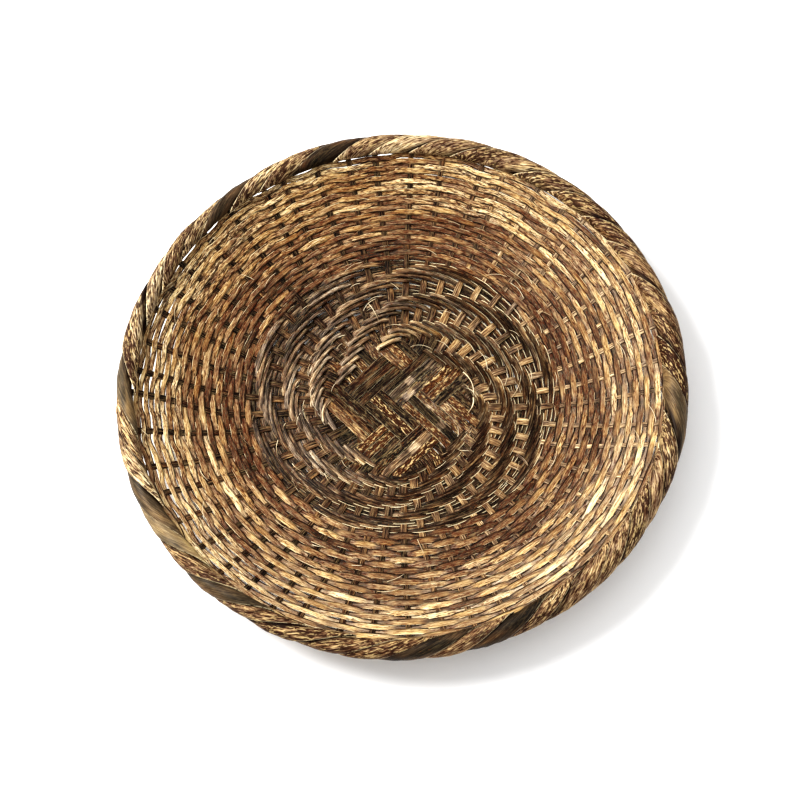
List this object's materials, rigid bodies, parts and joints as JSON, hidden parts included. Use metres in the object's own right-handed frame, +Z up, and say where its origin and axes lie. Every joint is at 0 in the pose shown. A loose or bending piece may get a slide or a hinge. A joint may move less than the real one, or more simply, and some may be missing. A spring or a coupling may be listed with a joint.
{
  "type": "basket",
  "caption": "Shallow round tray basket, hand-woven from split bamboo strips, with a plaited base, plain-woven flared wall and a lashed rim.",
  "frame": {"origin": "middle of the underside, on the surface that the basket stands on", "axes": "+Z up out of the basket's mouth; +X towards the extra stake, +Y across, with the strips of the mat at 45 degrees to both"},
  "size_m": [0.4496, 0.4488, 0.0506],
  "materials": {
    "stake_strip": "dark smoked split bamboo, satin, with lengthwise fibre and pale edges",
    "base_weaver": "brown mottled split bamboo, satin",
    "wall_weaver": "straw-coloured split bamboo with brown mottling, satin",
    "hoop": "half-round split bamboo, matt",
    "rim_wrap": "tortoise-shell mottled bamboo sheath, satin",
    "rim_sheath": "smooth grey-brown bamboo sheath, satin"
  },
  "bodies": {
    "root": {"strip_a_01": "stake_strip", "strip_a_02": "stake_strip", "strip_a_03": "stake_strip", "strip_a_04": "stake_strip", "strip_a_05": "stake_strip", "strip_a_06": "stake_strip", "strip_a_07": "stake_strip", "strip_a_08": "stake_strip", "strip_a_09": "stake_strip", "strip_a_10": "stake_strip", "strip_a_11": "stake_strip", "strip_a_12": "stake_strip", "strip_b_01": "stake_strip", "strip_b_02": "stake_strip", "strip_b_03": "stake_strip", "strip_b_04": "stake_strip", "strip_b_05": "stake_strip", "strip_b_06": "stake_strip", "strip_b_07": "stake_strip", "strip_b_08": "stake_strip", "strip_b_09": "stake_strip", "strip_b_10": "stake_strip", "strip_b_11": "stake_strip", "strip_b_12": "stake_strip", "extra_stake": "stake_strip", "base_weaver_01": "base_weaver", "base_weaver_02": "base_weaver", "base_weaver_03": "base_weaver", "base_weaver_04": "base_weaver", "base_weaver_05": "base_weaver", "wall_weaver_01": "wall_weaver", "wall_weaver_02": "wall_weaver", "wall_weaver_03": "wall_weaver", "wall_weaver_04": "wall_weaver", "wall_weaver_05": "wall_weaver", "wall_weaver_06": "wall_weaver", "wall_weaver_07": "wall_weaver", "wall_weaver_08": "wall_weaver", "inner_hoop": "hoop", "outer_hoop": "hoop", "rim_wrap_01": "rim_wrap", "rim_wrap_02": "rim_wrap", "rim_wrap_03": "rim_sheath", "rim_wrap_04": "rim_wrap", "rim_wrap_05": "rim_wrap", "rim_wrap_06": "rim_sheath", "rim_wrap_07": "rim_wrap", "rim_wrap_08": "rim_wrap", "rim_wrap_09": "rim_sheath", "rim_wrap_10": "rim_wrap", "rim_wrap_11": "rim_wrap", "rim_wrap_12": "rim_sheath", "rim_wrap_13": "rim_wrap", "rim_wrap_14": "rim_wrap"}
  },
  "joints": []
}
